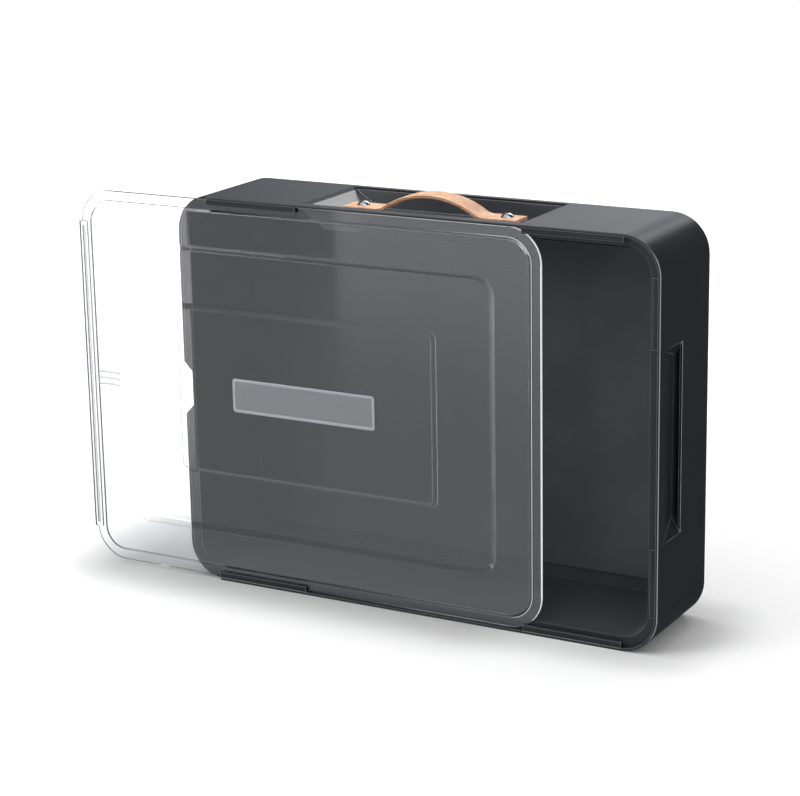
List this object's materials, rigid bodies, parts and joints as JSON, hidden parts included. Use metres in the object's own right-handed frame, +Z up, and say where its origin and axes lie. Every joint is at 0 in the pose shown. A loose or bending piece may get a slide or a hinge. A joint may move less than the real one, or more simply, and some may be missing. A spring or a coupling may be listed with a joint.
{
  "type": "tool case",
  "caption": "Upright double-walled plastic tool case with rounded corners, a clear stepped door that slides out to the left and a leather carrying strap in a well on top.",
  "frame": {"origin": "middle of the flat underside that the case stands on", "axes": "+X to the right, seen from the open front; +Y to the back; +Z up"},
  "size_m": [0.6142, 0.1128, 0.3925],
  "materials": {
    "case_plastic": "dark anthracite, finely grained satin",
    "liner_plastic": "dark anthracite, fine matt grain",
    "clear_plastic": "clear, polished, with a faint haze",
    "strap_leather": "natural vegetable-tanned tan",
    "bolt_chrome": "bright chrome",
    "insert_brass": "turned",
    "screw_steel": "black zinc"
  },
  "bodies": {
    "case": {"outer_shell": "case_plastic", "inner_liner": "liner_plastic", "handle_tray": "liner_plastic", "back_panel": "liner_plastic", "side_grip_cup": "liner_plastic", "leather_strap": "strap_leather", "strap_bolt_left": "bolt_chrome", "strap_bolt_right": "bolt_chrome", "strap_insert_left": "insert_brass", "strap_insert_right": "insert_brass", "case_screws": "screw_steel"},
    "door": {"sliding_door": "clear_plastic"}
  },
  "joints": [
    {"name": "door_slide", "type": "slide", "parent": "case", "child": "door", "axis": [1, 0, 0], "range_m": [-0.25, 0.1124]}
  ]
}
